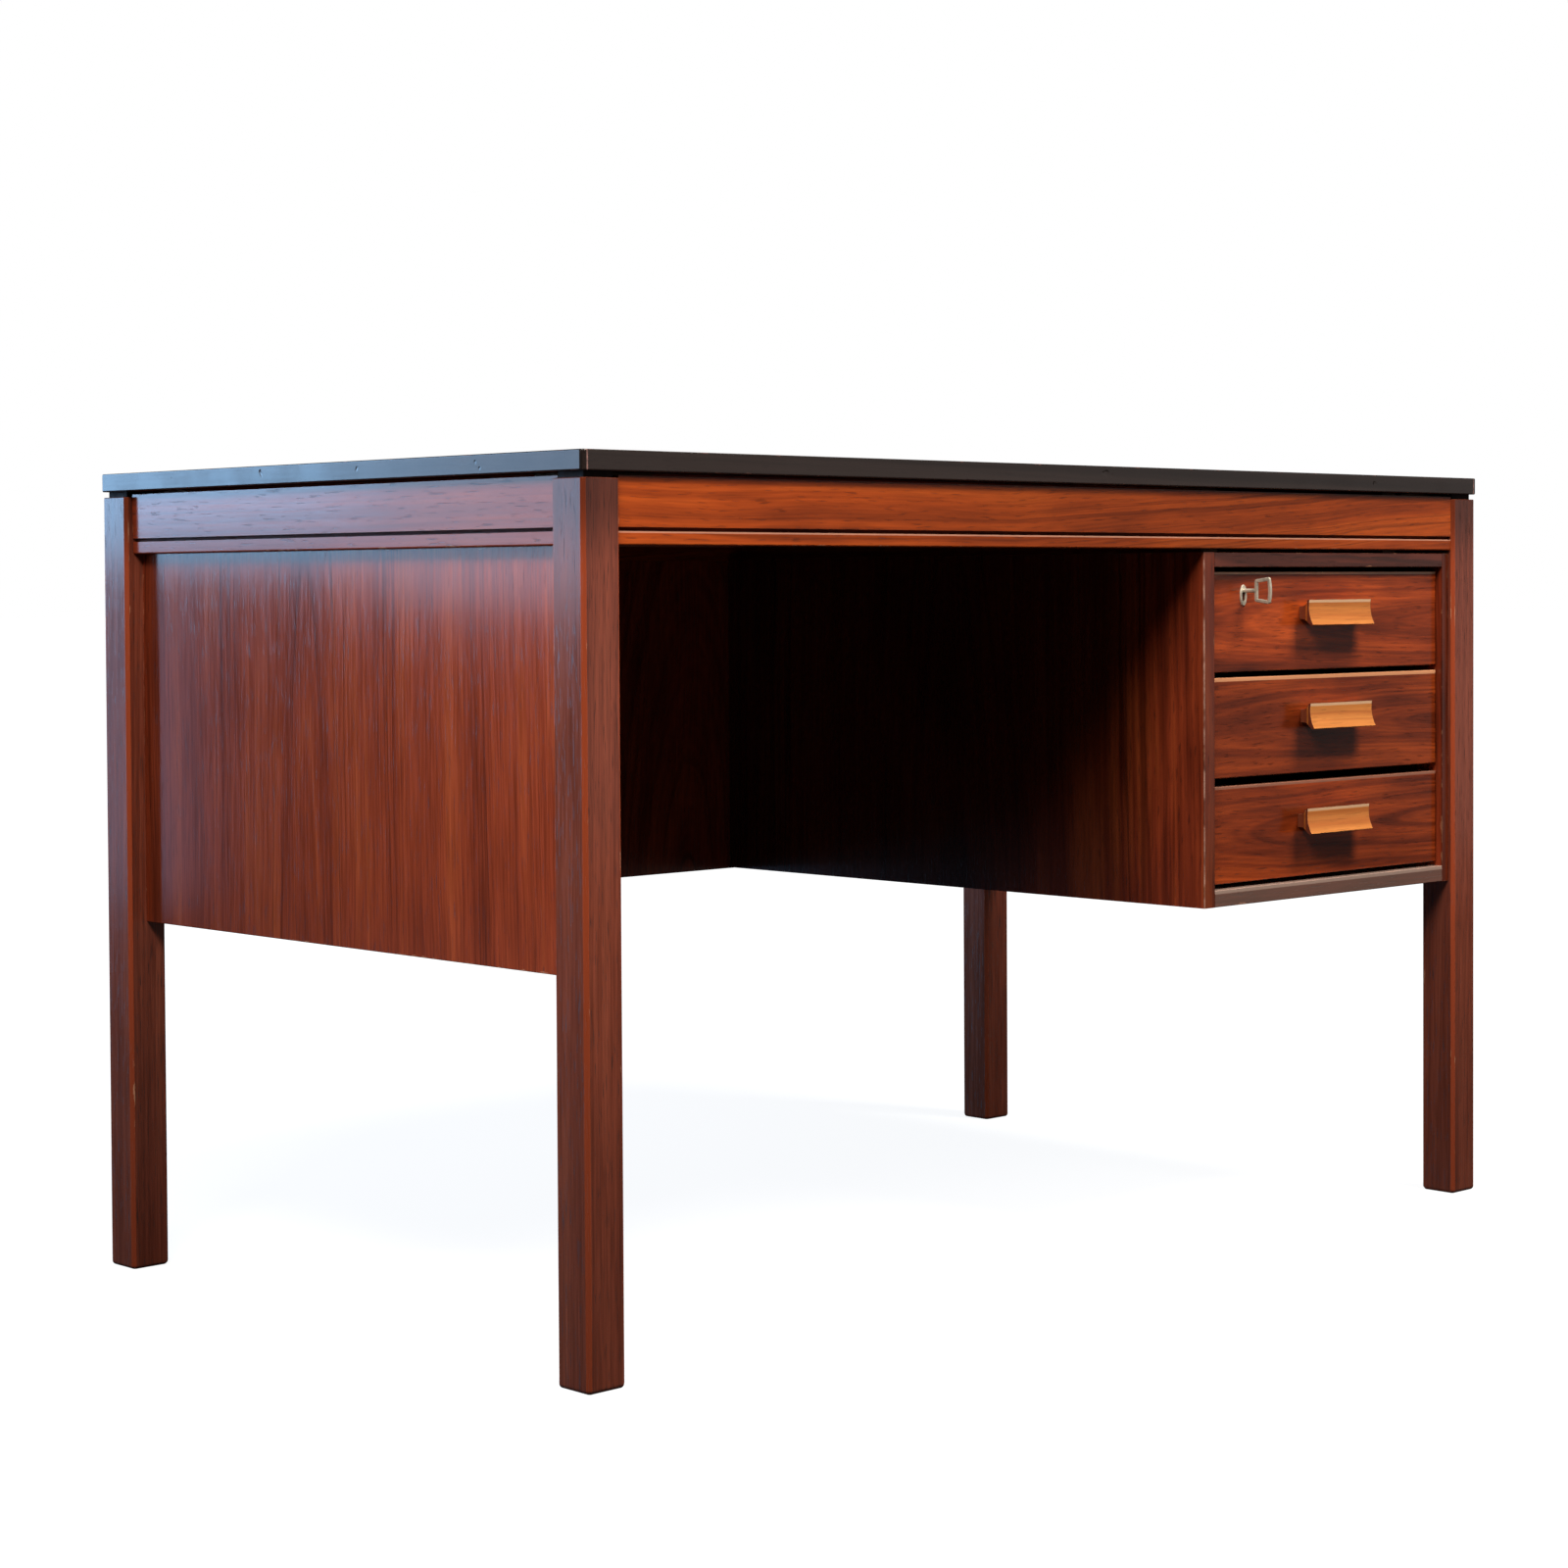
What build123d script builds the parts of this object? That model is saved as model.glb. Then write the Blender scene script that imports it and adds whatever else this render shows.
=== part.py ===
"""Writing desk with a three-drawer pedestal, in millimetres.

+X runs along the desk's length with the drawers at the +X end, -Y is the side the user sits at,
and +Z is up. The origin is on the floor, under the middle of the whole object's bounding box.
"""
from build123d import *
import os

os.makedirs("parts", exist_ok=True)

# ---------------------------------------------------------------- driving dimensions
# Overall
top_length = 1200
top_depth = 690
desk_height = 734
top_thickness = 16.5
top_overhang = 1
top_corner_radius = 4
top_edge_radius = 1.2
lipping_width = 6

# Legs
leg_side = 39
leg_chamfer = 3
foot_radius = 4
leg_top_chamfer = 0.6
spacer_height = 5.2
spacer_inset = 4.5

# Aprons: the outer face leans slightly inwards towards the floor
apron_thickness = 22
apron_lean = 0.5
apron_shadow_gap = 3
apron_top_radius = 1.5
apron_bottom_z = 660
back_apron_bottom_z = 655
front_apron_recess = 3
side_apron_recess = 7.5
groove_z = 671
groove_height = 3.2
groove_depth = 3

# Panels between the legs
panel_thickness = 16
panel_bottom_z = 321
end_panel_recess = 18
back_panel_recess = 9
edge_softening = 0.8

# Drawer pedestal
pedestal_width = 395
pedestal_recess = 6.2
pedestal_bottom_z = 322
pedestal_top_z = 657
left_side_thickness = 16
right_side_thickness = 11
pedestal_top_thickness = 14
pedestal_bottom_thickness = 16

# Drawers, listed from the top one down
drawer_names = ("drawer_1", "drawer_2", "drawer_3")
drawer_front_tops = (638.5, 538.0, 435.0)
drawer_front_bottoms = (543.5, 443.0, 342.5)
handle_offsets = (0, 1.8, -2.8)
drawer_side_gap = 1.5
drawer_recess = 6.6
front_thickness = 20
drawer_box_end = 587
box_height = 72
box_rise = 9
box_wall = 12
box_back_drop = 4
drawer_bottom_thickness = 4
drawer_bottom_rise = 7
drawer_bottom_engagement = 4.5
tail_count = 3
tail_pitch = 24
tail_base = 14
tail_tip = 18

# Wooden runners on the pedestal sides, in grooves of the drawer sides
runner_thickness = 8
runner_height = 14
runner_rise = 40
runner_start = 33
runner_length = 594
runner_groove_depth = 7.2
runner_clearance = 0.3
runner_screw_places = (44, 294, 544)

# Handles, measured outwards from the drawer front and up from the handle's middle
handle_length = 100.5
handle_height = 25
handle_neck_height = 12.5
handle_neck_length = 89.5
handle_top_reach = 15.7
handle_bottom_reach = 20
handle_lip = 2.2
handle_rise = 7.8
handle_screw_spacing = 56

# Lock, key and escutcheon
key_from_edge = 49.5
key_below_top = 18
key_reach = 34
key_bow_depth = 19.5
key_bow_inner_height = 21
key_bow_outer_height = 25.8
key_bow_bulge = 1.6
key_ring_width = 3.4
key_thickness = 2.6
key_shaft_diameter = 4
key_bit_radius = 7
key_bit_thickness = 2.2
keyhole_slot_width = 4.2
keyhole_slot_drop = 10
escutcheon_width = 10
escutcheon_height = 20
escutcheon_thickness = 1.2
escutcheon_drop = 4.3
lock_width = 40
lock_height = 40
lock_depth = 10
lock_flange_width = 56
lock_wall = 1.2
bolt_width = 22
bolt_thickness = 4
bolt_throw = 10
bolt_clearance = 0.3
strike_length = 44
strike_width = 16
strike_thickness = 1.2

# Fasteners
dowel_diameter = 8
apron_dowel_length = 40
apron_dowel_depth = 16
panel_dowel_length = 30
panel_dowel_depth = 12
corner_block_reach = 55
corner_block_height = 35
bearer_width = 22

# ---------------------------------------------------------------- derived places
drawer_face_recess = pedestal_recess + drawer_recess
key_overhang = key_reach - drawer_face_recess - top_overhang

x_leg = top_length / 2 - top_overhang
y_front = (key_overhang - top_depth) / 2 + top_overhang
y_back = y_front + top_depth - 2 * top_overhang
y_middle = (y_front + y_back) / 2
top_underside_z = desk_height - top_thickness
leg_top_z = top_underside_z - spacer_height
apron_top_z = top_underside_z - apron_shadow_gap
back_panel_inner_y = y_back - back_panel_recess - panel_thickness

pedestal_right_x = x_leg - leg_side
pedestal_left_x = pedestal_right_x - pedestal_width
pedestal_y = (y_front + pedestal_recess, back_panel_inner_y)
bay_x = (pedestal_left_x + left_side_thickness, pedestal_right_x - right_side_thickness)
rail_underside_z = pedestal_top_z - pedestal_top_thickness
front_x = (bay_x[0] + drawer_side_gap, bay_x[1] - drawer_side_gap)
front_y = (y_front + drawer_face_recess, y_front + drawer_face_recess + front_thickness)
box_end_y = front_y[0] + drawer_box_end
runner_y = (front_y[0] + runner_start, front_y[0] + runner_start + runner_length)
key_x = front_x[0] + key_from_edge
key_z = drawer_front_tops[0] - key_below_top
front_apron_inner = front_apron_recess + apron_thickness
side_apron_inner = side_apron_recess + apron_thickness
bearer_left_edges = (pedestal_left_x + left_side_thickness + 5, pedestal_right_x - 87)


# ---------------------------------------------------------------- helpers
def board(x, y, z, mode=Mode.ADD):
    """Rectangular board; x, y and z are (low, high) pairs."""
    middle = tuple(sum(pair) / 2 for pair in (x, y, z))
    with Locations(middle):
        Box(x[1] - x[0], y[1] - y[0], z[1] - z[0], mode=mode)


def dowels(places, direction, length):
    """Plain dowels with softened ends; each one's middle lies on its place."""
    for place in places:
        with Locations(Plane(origin=place, z_dir=direction)):
            Cylinder(dowel_diameter / 2, length)


def screws(places, direction, length, shank, head):
    """Countersunk screws: the head's face lies on the place, the shank runs along direction."""
    head_height = (head - shank) / 2
    point_height = shank
    low = (Align.CENTER, Align.CENTER, Align.MIN)
    for place in places:
        plane = Plane(origin=place, z_dir=direction)
        with Locations(plane):
            Cylinder(shank / 2, length - point_height, align=low)
            Cone(head / 2, shank / 2, head_height, align=low)
        with Locations(plane.offset(length - point_height)):
            Cone(shank / 2, shank / 10, point_height, align=low)


def screw_slots(places, direction, head):
    """Straight driver slots in the heads of screws that lie at these places."""
    low = (Align.CENTER, Align.CENTER, Align.MIN)
    for place in places:
        with Locations(Plane(origin=place, z_dir=direction)):
            Box(head, head / 7, head / 6, align=low, mode=Mode.SUBTRACT)


def between(low, high, count):
    """Evenly spaced values from low to high."""
    return [low + (high - low) * i / (count - 1) for i in range(count)]


# ---------------------------------------------------------------- dowels and top screws
apron_dowel_zs = (apron_bottom_z + 12, apron_top_z - 13)
apron_dowel_shift = apron_dowel_length / 2 - apron_dowel_depth
with BuildPart() as apron_dowels:
    for z in apron_dowel_zs:
        for x_side in (-1, 1):
            x = x_side * (x_leg - leg_side - apron_dowel_shift)
            ys = (y_front + front_apron_inner - 10, y_back - front_apron_inner + 10)
            dowels([(x, y, z) for y in ys], (1, 0, 0), apron_dowel_length)
            x = x_side * (x_leg - side_apron_inner + 10)
            ys = (y_front + leg_side + apron_dowel_shift, y_back - leg_side - apron_dowel_shift)
            dowels([(x, y, z) for y in ys], (0, 1, 0), apron_dowel_length)
apron_dowels.part.label = "apron_dowels"
export_step(apron_dowels.part, "parts/apron_dowels.step")

panel_dowel_zs = between(panel_bottom_z + 35, apron_bottom_z - 35, 3)
panel_dowel_shift = panel_dowel_length / 2 - panel_dowel_depth
with BuildPart() as panel_dowels:
    for z in panel_dowel_zs:
        for x_side in (-1, 1):
            x = x_side * (x_leg - end_panel_recess - panel_thickness / 2)
            ys = (y_front + leg_side + panel_dowel_shift, y_back - leg_side - panel_dowel_shift)
            dowels([(x, y, z) for y in ys], (0, 1, 0), panel_dowel_length)
            x = x_side * (x_leg - leg_side - panel_dowel_shift)
            y = y_back - back_panel_recess - panel_thickness / 2
            dowels([(x, y, z)], (1, 0, 0), panel_dowel_length)
panel_dowels.part.label = "panel_dowels"
export_step(panel_dowels.part, "parts/panel_dowels.step")

pedestal_dowel_length = 28
pedestal_dowel_depth = 9
pedestal_dowel_shift = pedestal_dowel_length / 2 - pedestal_dowel_depth
pedestal_board_zs = (
    pedestal_top_z - pedestal_top_thickness / 2,
    pedestal_bottom_z + pedestal_bottom_thickness / 2,
)
with BuildPart() as pedestal_dowels:
    for y in between(pedestal_y[0] + 40, pedestal_y[1] - 40, 4):
        for z in pedestal_board_zs:
            xs = (bay_x[0] + pedestal_dowel_shift, bay_x[1] - pedestal_dowel_shift)
            dowels([(x, y, z) for x in xs], (1, 0, 0), pedestal_dowel_length)
pedestal_dowels.part.label = "pedestal_dowels"
export_step(pedestal_dowels.part, "parts/pedestal_dowels.step")

corner_block_z = (top_underside_z - corner_block_height, top_underside_z)
top_screw_length = corner_block_height + 11
top_screw_inset = 50
top_screw_places = [
    (x_side * (x_leg - top_screw_inset), y, corner_block_z[0])
    for x_side in (-1, 1)
    for y in (y_front + top_screw_inset, y_back - top_screw_inset)
]
with BuildPart() as top_screw_blanks:
    screws(top_screw_places, (0, 0, 1), top_screw_length, shank=4.5, head=9)
with BuildPart() as top_screws:
    add(top_screw_blanks.part)
    screw_slots(top_screw_places, (0, 0, 1), head=9)
top_screws.part.label = "top_screws"
export_step(top_screws.part, "parts/top_screws.step")

# ---------------------------------------------------------------- tabletop and its lipping
with BuildPart() as top_blank:
    with BuildSketch(Plane.XY.offset(top_underside_z)):
        with Locations((0, y_middle)):
            RectangleRounded(top_length, top_depth, top_corner_radius)
    extrude(amount=top_thickness)
    rims = top_blank.edges().group_by(Axis.Z)
    fillet(rims[0] + rims[-1], top_edge_radius)

half_length = top_length / 2
half_depth = top_depth / 2
core_x = (lipping_width - half_length, half_length - lipping_width)
core_y = (y_middle - half_depth + lipping_width, y_middle + half_depth - lipping_width)
top_z = (top_underside_z, desk_height)
with BuildPart() as tabletop:
    add(top_blank.part)
    board(core_x, core_y, top_z, mode=Mode.INTERSECT)
    add(top_screw_blanks.part, mode=Mode.SUBTRACT)
tabletop.part.label = "tabletop"
export_step(tabletop.part, "parts/tabletop.step")

outer_corners = {
    "front_left": (-half_length, y_middle - half_depth),
    "front_right": (half_length, y_middle - half_depth),
    "back_left": (-half_length, y_middle + half_depth),
    "back_right": (half_length, y_middle + half_depth),
}
inner_corners = {
    "front_left": (core_x[0], core_y[0]),
    "front_right": (core_x[1], core_y[0]),
    "back_left": (core_x[0], core_y[1]),
    "back_right": (core_x[1], core_y[1]),
}
lipping_ends = {
    "front": ("front_left", "front_right"),
    "back": ("back_left", "back_right"),
    "left": ("front_left", "back_left"),
    "right": ("front_right", "back_right"),
}
for side, (start, end) in lipping_ends.items():
    mitred = [outer_corners[start], outer_corners[end], inner_corners[end], inner_corners[start]]
    with BuildPart() as lipping:
        add(top_blank.part)
        with BuildSketch(Plane.XY.offset(top_underside_z)):
            Polygon(*mitred, align=None)
        extrude(amount=top_thickness, mode=Mode.INTERSECT)
    lipping.part.label = f"top_lipping_{side}"
    export_step(lipping.part, f"parts/top_lipping_{side}.step")

# ---------------------------------------------------------------- legs and spacer blocks
corners = [
    (f"{row}_{side}", x_side, x_side * (x_leg - leg_side / 2), y)
    for row, y in (("front", y_front + leg_side / 2), ("back", y_back - leg_side / 2))
    for side, x_side in (("left", -1), ("right", 1))
]
for corner, x_side, x, y in corners:
    with BuildPart() as leg:
        with BuildSketch() as leg_section:
            with Locations((x, y)):
                Rectangle(leg_side, leg_side)
            chamfer(leg_section.vertices(), leg_chamfer)
        extrude(amount=leg_top_z)
        fillet(leg.edges().group_by(Axis.Z)[0], foot_radius)
        chamfer(leg.edges().group_by(Axis.Z)[-1], leg_top_chamfer)
        add(apron_dowels.part, mode=Mode.SUBTRACT)
        add(panel_dowels.part, mode=Mode.SUBTRACT)
    leg.part.label = f"leg_{corner}"
    export_step(leg.part, f"parts/leg_{corner}.step")

spacer_side = leg_side - 2 * spacer_inset
with BuildPart() as leg_top_spacers:
    with BuildSketch(Plane.XY.offset(leg_top_z)):
        with Locations(*[(x, y) for corner, x_side, x, y in corners]):
            Rectangle(spacer_side, spacer_side)
    extrude(amount=spacer_height)
leg_top_spacers.part.label = "leg_top_spacers"
export_step(leg_top_spacers.part, "parts/leg_top_spacers.step")

# ---------------------------------------------------------------- aprons
# Each section is drawn with x pointing inwards from the legs' outer faces and y pointing up.
apron_planes = {
    "front": (Plane(origin=(0, y_front, 0), x_dir=(0, 1, 0), z_dir=(1, 0, 0)),
              x_leg - leg_side, front_apron_recess, apron_bottom_z),
    "back": (Plane(origin=(0, y_back, 0), x_dir=(0, -1, 0), z_dir=(-1, 0, 0)),
             x_leg - leg_side, front_apron_recess, back_apron_bottom_z),
    "left": (Plane(origin=(-x_leg, y_middle, 0), x_dir=(1, 0, 0), z_dir=(0, -1, 0)),
             (y_back - y_front) / 2 - leg_side, side_apron_recess, apron_bottom_z),
    "right": (Plane(origin=(x_leg, y_middle, 0), x_dir=(-1, 0, 0), z_dir=(0, 1, 0)),
              (y_back - y_front) / 2 - leg_side, side_apron_recess, apron_bottom_z),
}
for side, (plane, half_span, recess, bottom_z) in apron_planes.items():
    lean_per_mm = apron_lean / (apron_top_z - apron_bottom_z)
    foot = recess + lean_per_mm * (apron_top_z - bottom_z)
    groove_face = recess + lean_per_mm * (apron_top_z - groove_z)
    with BuildPart() as apron:
        with BuildSketch(plane) as apron_section:
            Polygon(
                (foot, bottom_z),
                (recess + apron_thickness, bottom_z),
                (recess + apron_thickness, apron_top_z),
                (recess, apron_top_z),
                align=None,
            )
            outer_top = apron_section.vertices().group_by(Axis.Z)[-1].sort_by_distance(plane.origin)
            fillet(outer_top[0], apron_top_radius)
            with Locations((groove_face + groove_depth / 2 - 1, groove_z + groove_height / 2)):
                Rectangle(groove_depth + 2, groove_height, mode=Mode.SUBTRACT)
        extrude(amount=half_span, both=True)
        add(apron_dowels.part, mode=Mode.SUBTRACT)
    apron.part.label = f"apron_{side}"
    export_step(apron.part, f"parts/apron_{side}.step")

# ---------------------------------------------------------------- corner blocks and bearers
with BuildPart() as corner_blocks:
    for corner, x_side, x, y in corners:
        y_side = 1 if y > y_middle else -1
        x_outer = x_side * x_leg
        y_outer = y_back if y_side > 0 else y_front
        outline = [
            (leg_side + corner_block_reach, front_apron_inner),
            (leg_side, front_apron_inner),
            (leg_side, leg_side),
            (side_apron_inner, leg_side),
            (side_apron_inner, leg_side + corner_block_reach),
        ]
        with BuildSketch(Plane.XY.offset(corner_block_z[0])):
            Polygon(*[(x_outer - x_side * p, y_outer - y_side * q) for p, q in outline], align=None)
        extrude(amount=corner_block_height)
    add(top_screw_blanks.part, mode=Mode.SUBTRACT)
corner_blocks.part.label = "corner_blocks"
export_step(corner_blocks.part, "parts/corner_blocks.step")

bearer_middles = [edge + bearer_width / 2 for edge in bearer_left_edges]
pedestal_screw_places = [
    (x, y, rail_underside_z)
    for x in bearer_middles
    for y in between(y_front + 90, y_back - 90, 3)
]
with BuildPart() as pedestal_screw_blanks:
    screws(pedestal_screw_places, (0, 0, 1), 40, shank=4.5, head=9)
with BuildPart() as pedestal_screws:
    add(pedestal_screw_blanks.part)
    screw_slots(pedestal_screw_places, (0, 0, 1), head=9)
pedestal_screws.part.label = "pedestal_screws"
export_step(pedestal_screws.part, "parts/pedestal_screws.step")

with BuildPart() as top_bearers:
    for x in bearer_middles:
        board(
            (x - bearer_width / 2, x + bearer_width / 2),
            (y_front + front_apron_inner, y_back - front_apron_inner),
            (pedestal_top_z, top_underside_z),
        )
    add(pedestal_screw_blanks.part, mode=Mode.SUBTRACT)
top_bearers.part.label = "top_bearers"
export_step(top_bearers.part, "parts/top_bearers.step")

# ---------------------------------------------------------------- end and back panels
for side, x_side in (("left", -1), ("right", 1)):
    faces = sorted(x_side * (x_leg - end_panel_recess - t) for t in (0, panel_thickness))
    with BuildPart() as end_panel:
        board(faces, (y_front + leg_side, y_back - leg_side), (panel_bottom_z, apron_bottom_z))
        foot_edges = end_panel.edges().group_by(Axis.Z)[0].filter_by(Axis.Y)
        fillet(foot_edges, edge_softening)
        add(panel_dowels.part, mode=Mode.SUBTRACT)
    end_panel.part.label = f"end_panel_{side}"
    export_step(end_panel.part, f"parts/end_panel_{side}.step")

with BuildPart() as back_panel:
    board(
        (leg_side - x_leg, x_leg - leg_side),
        (back_panel_inner_y, y_back - back_panel_recess),
        (panel_bottom_z, back_apron_bottom_z),
    )
    fillet(back_panel.edges().group_by(Axis.Z)[0].filter_by(Axis.X), edge_softening)
    add(panel_dowels.part, mode=Mode.SUBTRACT)
back_panel.part.label = "back_panel"
export_step(back_panel.part, "parts/back_panel.step")

# ---------------------------------------------------------------- runners and their screws
runner_zs = [bottom + box_rise + runner_rise for bottom in drawer_front_bottoms]
runner_screw_ys = [runner_y[0] + place for place in runner_screw_places]
runner_blanks = {}
for side, wall_x, inwards in (("left", bay_x[0], 1), ("right", bay_x[1], -1)):
    face_x = wall_x + inwards * runner_thickness
    screw_places = [(face_x, y, z) for y in runner_screw_ys for z in runner_zs]
    with BuildPart() as runner_screw_blanks:
        screws(screw_places, (-inwards, 0, 0), 17, shank=3.5, head=7)
    with BuildPart() as runner_screws:
        add(runner_screw_blanks.part)
        screw_slots(screw_places, (-inwards, 0, 0), head=7)
    runner_screws.part.label = f"runner_screws_{side}"
    export_step(runner_screws.part, f"parts/runner_screws_{side}.step")
    runner_blanks[side] = runner_screw_blanks.part

    with BuildPart() as runners:
        for z in runner_zs:
            board(
                sorted((wall_x, face_x)),
                runner_y,
                (z - runner_height / 2, z + runner_height / 2),
            )
        add(runner_screw_blanks.part, mode=Mode.SUBTRACT)
    runners.part.label = f"drawer_runners_{side}"
    export_step(runners.part, f"parts/drawer_runners_{side}.step")

# ---------------------------------------------------------------- pedestal
pedestal_sides = (("left", (pedestal_left_x, bay_x[0])), ("right", (bay_x[1], pedestal_right_x)))
for side, faces in pedestal_sides:
    with BuildPart() as pedestal_side:
        board(faces, pedestal_y, (pedestal_bottom_z, pedestal_top_z))
        front_edges = pedestal_side.edges().group_by(Axis.Y)[0].filter_by(Axis.Z)
        fillet(front_edges, edge_softening)
        add(pedestal_dowels.part, mode=Mode.SUBTRACT)
        add(runner_blanks[side], mode=Mode.SUBTRACT)
    pedestal_side.part.label = f"pedestal_side_{side}"
    export_step(pedestal_side.part, f"parts/pedestal_side_{side}.step")

with BuildPart() as pedestal_bottom:
    board(bay_x, pedestal_y, (pedestal_bottom_z, pedestal_bottom_z + pedestal_bottom_thickness))
    fillet(pedestal_bottom.edges().group_by(Axis.Y)[0].filter_by(Axis.X), edge_softening)
    add(pedestal_dowels.part, mode=Mode.SUBTRACT)
pedestal_bottom.part.label = "pedestal_bottom"
export_step(pedestal_bottom.part, "parts/pedestal_bottom.step")

# The lock's bolt slides in the middle of the drawer front's thickness.
bolt_y = (front_y[1] - lock_depth + 2.2, front_y[1] - lock_depth + 2.2 + bolt_thickness)
bolt_middle_y = sum(bolt_y) / 2
strike_x = (key_x - strike_length / 2, key_x + strike_length / 2)
strike_y = (bolt_middle_y - strike_width / 2, bolt_middle_y + strike_width / 2)
strike_z = (rail_underside_z, rail_underside_z + strike_thickness)
mortise_x = (key_x - bolt_width / 2 - 0.8, key_x + bolt_width / 2 + 0.8)
mortise_y = (bolt_y[0] - 0.8, bolt_y[1] + 0.8)
mortise_z = (rail_underside_z, rail_underside_z + 9)
strike_screw_places = [
    (key_x + offset, bolt_middle_y, rail_underside_z) for offset in (-17, 17)
]
with BuildPart() as strike_screw_blanks:
    screws(strike_screw_places, (0, 0, 1), 9, shank=2.5, head=5)
with BuildPart() as strike_screws:
    add(strike_screw_blanks.part)
    screw_slots(strike_screw_places, (0, 0, 1), head=5)
strike_screws.part.label = "strike_screws"
export_step(strike_screws.part, "parts/strike_screws.step")

with BuildPart() as strike_plate:
    board(strike_x, strike_y, strike_z)
    fillet(strike_plate.edges().filter_by(Axis.Z), 3)
    board(mortise_x, mortise_y, mortise_z, mode=Mode.SUBTRACT)
    add(strike_screw_blanks.part, mode=Mode.SUBTRACT)
strike_plate.part.label = "strike_plate"
export_step(strike_plate.part, "parts/strike_plate.step")

with BuildPart() as pedestal_top:
    board(bay_x, pedestal_y, (rail_underside_z, pedestal_top_z))
    fillet(pedestal_top.edges().group_by(Axis.Y)[0].filter_by(Axis.X), edge_softening)
    add(pedestal_dowels.part, mode=Mode.SUBTRACT)
    add(pedestal_screw_blanks.part, mode=Mode.SUBTRACT)
    add(strike_plate.part, mode=Mode.SUBTRACT)
    add(strike_screw_blanks.part, mode=Mode.SUBTRACT)
    board(mortise_x, mortise_y, mortise_z, mode=Mode.SUBTRACT)
pedestal_top.part.label = "pedestal_top"
export_step(pedestal_top.part, "parts/pedestal_top.step")

# ---------------------------------------------------------------- lock, key and escutcheon
lock_y = (front_y[1] - lock_depth, front_y[1])
lock_z = (drawer_front_tops[0] - lock_height, drawer_front_tops[0])
lock_x = (key_x - lock_width / 2, key_x + lock_width / 2)
flange_x = (key_x - lock_flange_width / 2, key_x + lock_flange_width / 2)
flange_y = (front_y[1] - lock_wall, front_y[1])
with BuildPart() as lock_envelope:
    board(lock_x, lock_y, lock_z)
    board(flange_x, flange_y, lock_z)

lock_screw_places = [
    (key_x + x, front_y[1], lock_z[0] + z) for x in (-24, 24) for z in (9, lock_height - 9)
]
with BuildPart() as lock_screw_blanks:
    screws(lock_screw_places, (0, -1, 0), 11, shank=2.5, head=5)
with BuildPart() as lock_screws:
    add(lock_screw_blanks.part)
    screw_slots(lock_screw_places, (0, -1, 0), head=5)
lock_screws.part.label = "lock_screws"
export_step(lock_screws.part, "parts/lock_screws.step")

with BuildPart() as lock_case:
    add(lock_envelope.part)
    board(
        (lock_x[0] + lock_wall, lock_x[1] - lock_wall),
        (lock_y[0], flange_y[0]),
        (lock_z[0] + lock_wall, lock_z[1] - lock_wall),
        mode=Mode.SUBTRACT,
    )
    board(
        (key_x - bolt_width / 2 - bolt_clearance, key_x + bolt_width / 2 + bolt_clearance),
        (bolt_y[0] - bolt_clearance, bolt_y[1] + bolt_clearance),
        (lock_z[1] - 2 * lock_wall, lock_z[1]),
        mode=Mode.SUBTRACT,
    )
    add(lock_screw_blanks.part, mode=Mode.SUBTRACT)
lock_case.part.label = "lock_case"
export_step(lock_case.part, "parts/lock_case.step")

# The bolt is a plate with a window, so that the key's bit turns inside it and lifts it.
bolt_z = (lock_z[0] + 4, lock_z[1] - 0.5)
with BuildPart() as lock_bolt:
    board((key_x - bolt_width / 2, key_x + bolt_width / 2), bolt_y, bolt_z)
    chamfer(lock_bolt.edges().group_by(Axis.Z)[-1].filter_by(Axis.X), 1)
    board(
        (key_x - key_bit_radius - 1.2, key_x + key_bit_radius + 1.2),
        bolt_y,
        (key_z - bolt_throw - 3, key_z + key_shaft_diameter / 2 + 2),
        mode=Mode.SUBTRACT,
    )
lock_bolt.part.label = "lock_bolt"
export_step(lock_bolt.part, "parts/lock_bolt.step")

# Keyhole: a round hole for the key's shaft with a slot below it for the bit.
keyhole_clearance = 0.3
keyhole_radius = key_shaft_diameter / 2 + keyhole_clearance
escutcheon_plane = Plane(origin=(key_x, front_y[0], key_z), x_dir=(1, 0, 0), z_dir=(0, -1, 0))
with BuildSketch(escutcheon_plane) as keyhole:
    Circle(keyhole_radius)
    with Locations((0, -keyhole_slot_drop / 2)):
        Rectangle(keyhole_slot_width, keyhole_slot_drop)
    fillet(keyhole.vertices().group_by(Axis.Z)[0], keyhole_slot_width * 0.4)

with BuildPart() as escutcheon:
    with BuildSketch(escutcheon_plane):
        with Locations((0, -escutcheon_drop)):
            Ellipse(escutcheon_width / 2, escutcheon_height / 2)
    extrude(amount=escutcheon_thickness)
    fillet(escutcheon.edges().group_by(Axis.Y)[0], escutcheon_thickness * 0.45)
    extrude(keyhole.sketch, amount=escutcheon_thickness, mode=Mode.SUBTRACT)
escutcheon.part.label = "escutcheon"
export_step(escutcheon.part, "parts/escutcheon.step")

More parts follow.
